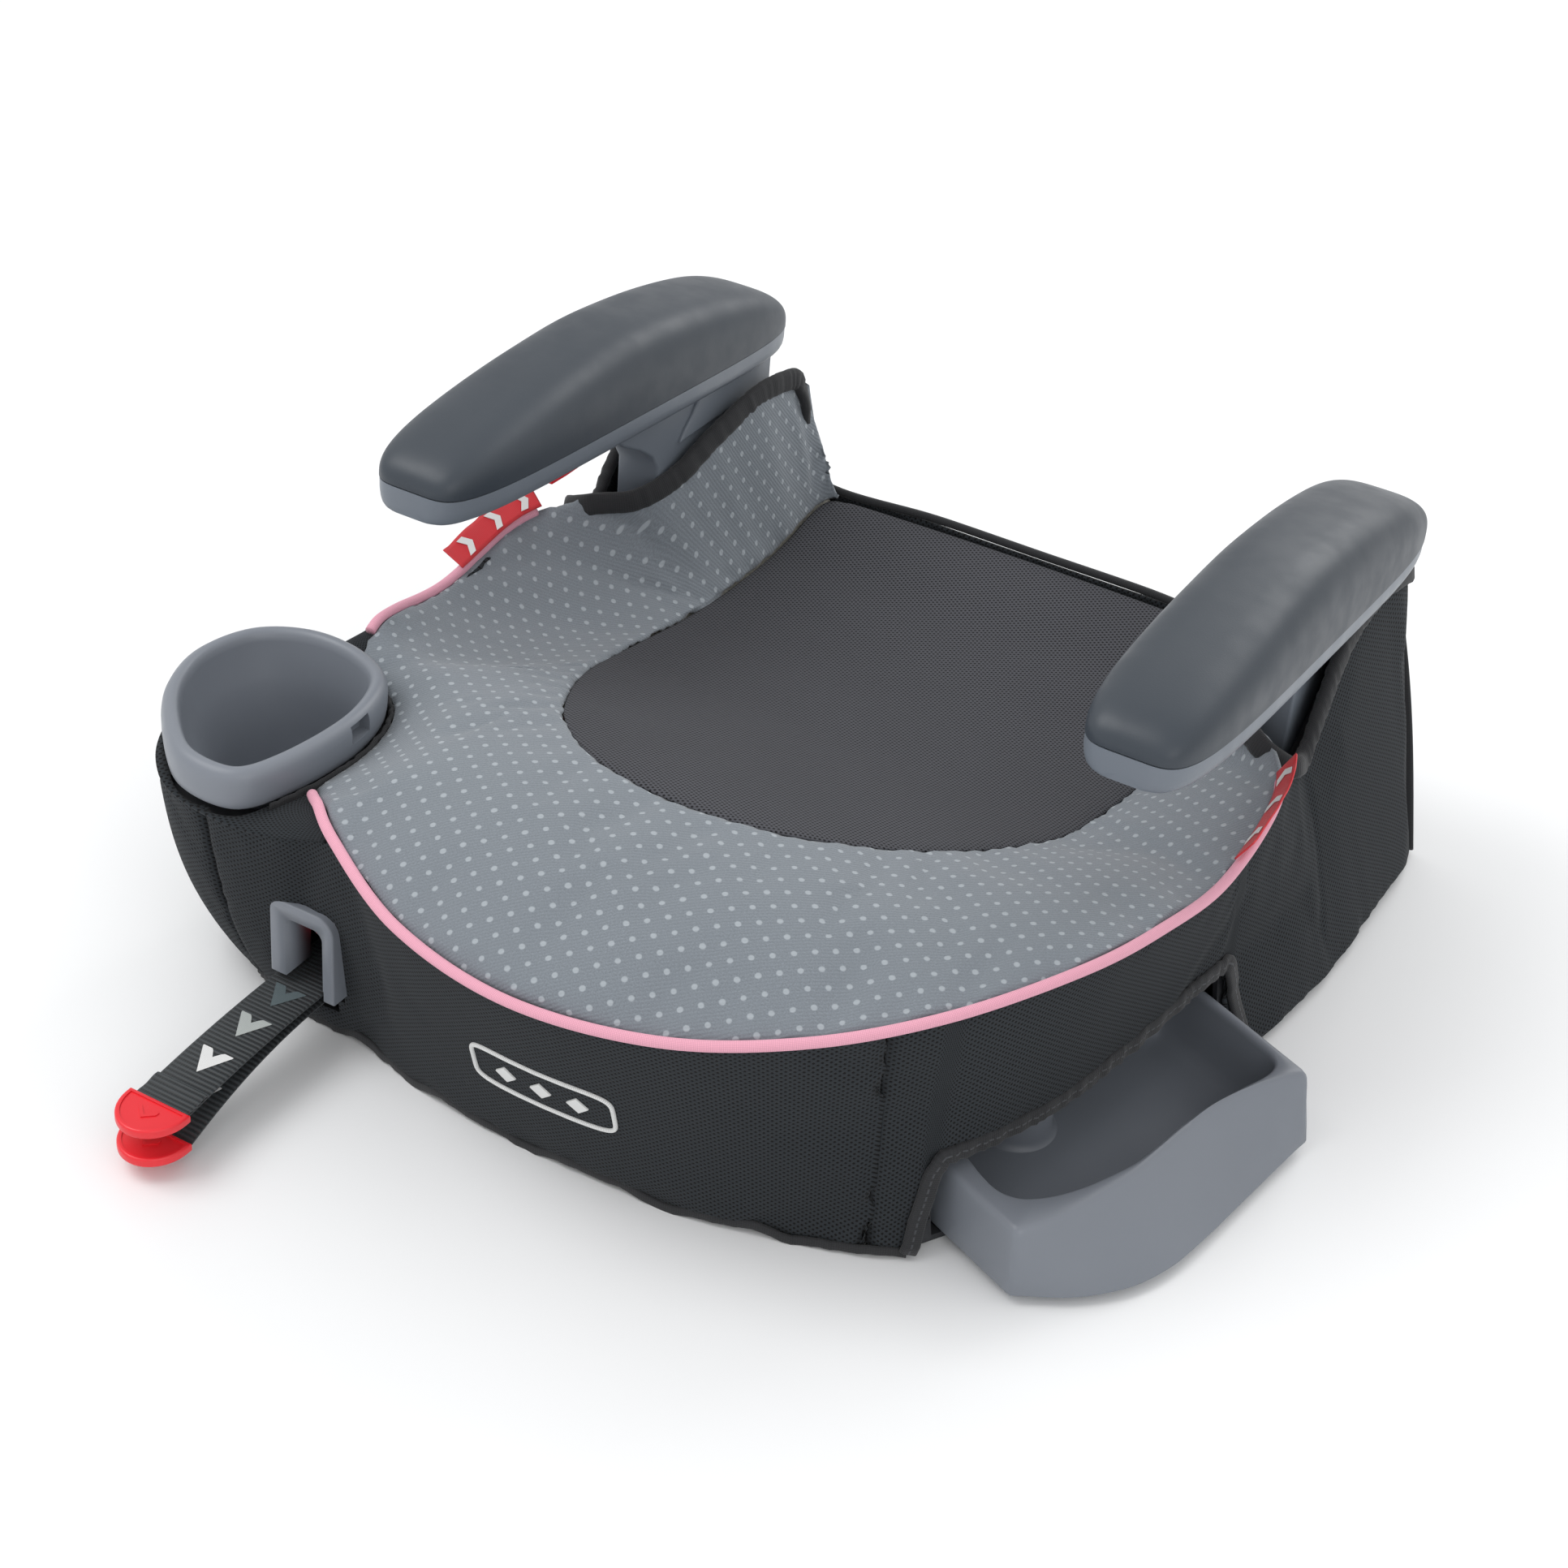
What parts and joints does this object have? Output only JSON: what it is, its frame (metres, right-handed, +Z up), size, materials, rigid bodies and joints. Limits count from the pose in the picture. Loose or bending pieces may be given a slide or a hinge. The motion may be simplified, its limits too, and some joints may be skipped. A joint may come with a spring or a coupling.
{
  "type": "booster seat",
  "caption": "Backless child booster seat: sewn cover over a moulded base, lifting armrests, corner cup holder, side drawer and front-adjusted lower-anchor straps with hooks.",
  "frame": {"origin": "middle of the seat's underside, on the surface it stands on", "axes": "+Z up, the front of the seat faces -Y, +X is the right-hand side seen from the front"},
  "size_m": [0.4966, 0.5445, 0.2272],
  "materials": {
    "resin": "moulded, matt",
    "foam": "open-cell pad",
    "dotted_knit": "knit with a woven dot pattern",
    "mesh": "spacer mesh",
    "piping": "covered cord",
    "red_tape": "satin tape",
    "black_tape": "woven binding",
    "grey_plastic": "fine moulded texture",
    "soft_touch": "satin soft-touch",
    "red_plastic": "satin",
    "steel": "plated",
    "webbing": "ribbed webbing"
  },
  "bodies": {
    "seat": {"base_shell": "resin", "base_pan": "resin", "seat_foam": "foam", "cover_top": "dotted_knit", "cover_insert": "mesh", "cover_front": "mesh", "cover_right": "mesh", "cover_left": "mesh", "cover_rear": "mesh", "piping_front": "piping", "piping_left": "piping", "belt_label_left": "red_tape", "belt_label_right": "red_tape", "wing_binding_left": "black_tape", "wing_binding_right": "black_tape", "cup_elastic": "black_tape", "drawer_binding": "black_tape", "cup_holder": "grey_plastic", "drawer_rail_front": "resin", "drawer_rail_rear": "resin", "armrest_sleeve_left": "resin", "armrest_sleeve_right": "resin", "strap_bezel": "grey_plastic", "adjuster_frame": "steel", "strap_run_left": "webbing", "strap_run_right": "webbing"},
    "drawer": {"drawer": "grey_plastic"},
    "strap_lever": {"adjuster_lever": "steel", "release_button": "red_plastic"},
    "strap_upper": {"strap_tail_upper": "webbing", "pull_tab_upper": "red_plastic"},
    "strap_lower": {"strap_tail_lower": "webbing", "pull_tab_lower": "red_plastic"},
    "armrest_left": {"armrest_pad_left": "soft_touch", "armrest_frame_left": "grey_plastic"},
    "armrest_lever_left": {"armrest_lever_left": "red_plastic"},
    "hook_left": {"anchor_hook_left": "steel", "hook_strap_left": "webbing"},
    "gate_left": {"hook_gate_left": "steel"},
    "armrest_right": {"armrest_pad_right": "soft_touch", "armrest_frame_right": "grey_plastic"},
    "armrest_lever_right": {"armrest_lever_right": "red_plastic"},
    "hook_right": {"anchor_hook_right": "steel", "hook_strap_right": "webbing"},
    "gate_right": {"hook_gate_right": "steel"}
  },
  "joints": [
    {"name": "drawer_slide", "type": "slide", "parent": "seat", "child": "drawer", "axis": [0.9135, -0.4067, 0], "range_m": [-0.057, 0]},
    {"name": "strap_release", "type": "hinge", "parent": "seat", "child": "strap_lever", "pos_m": [-0.1338, -0.179, 0.05], "axis": [1, 0, 0], "range_deg": [0, 12], "stiffness_Nm_per_rad": 0.2},
    {"name": "strap_upper_slide", "type": "slide", "parent": "seat", "child": "strap_upper", "axis": [0, 1, 0], "range_m": [0, 0.045]},
    {"name": "strap_lower_slide", "type": "slide", "parent": "seat", "child": "strap_lower", "axis": [0, 1, 0], "range_m": [0, 0.045]},
    {"name": "hook_right_slide", "type": "slide", "parent": "seat", "child": "hook_right", "axis": [0, 1, 0], "range_m": [0, 0.045]},
    {"name": "hook_left_slide", "type": "slide", "parent": "seat", "child": "hook_left", "axis": [0, 1, 0], "range_m": [0, 0.045]},
    {"name": "armrest_left_lift", "type": "slide", "parent": "seat", "child": "armrest_left", "axis": [0, 0, 1], "range_m": [0, 0.05]},
    {"name": "armrest_left_lever", "type": "hinge", "parent": "armrest_left", "child": "armrest_lever_left", "pos_m": [-0.1675, 0.046, 0.1725], "axis": [-1, 0, 0], "range_deg": [0, 5.5], "stiffness_Nm_per_rad": 0.1},
    {"name": "hook_left_gate", "type": "hinge", "parent": "hook_left", "child": "gate_left", "pos_m": [-0.1, 0.1685, 0.0292], "axis": [1, 0, 0], "range_deg": [0, 8], "stiffness_Nm_per_rad": 0.05},
    {"name": "armrest_right_lift", "type": "slide", "parent": "seat", "child": "armrest_right", "axis": [0, 0, 1], "range_m": [0, 0.05]},
    {"name": "armrest_right_lever", "type": "hinge", "parent": "armrest_right", "child": "armrest_lever_right", "pos_m": [0.1675, 0.046, 0.1725], "axis": [-1, 0, 0], "range_deg": [0, 5.5], "stiffness_Nm_per_rad": 0.1},
    {"name": "hook_right_gate", "type": "hinge", "parent": "hook_right", "child": "gate_right", "pos_m": [0.1, 0.1685, 0.0292], "axis": [1, 0, 0], "range_deg": [0, 8], "stiffness_Nm_per_rad": 0.05}
  ],
  "couplings": [
    {"joint": "hook_right_slide", "follows": "strap_upper_slide", "ratio": 1},
    {"joint": "hook_left_slide", "follows": "strap_lower_slide", "ratio": 1}
  ]
}
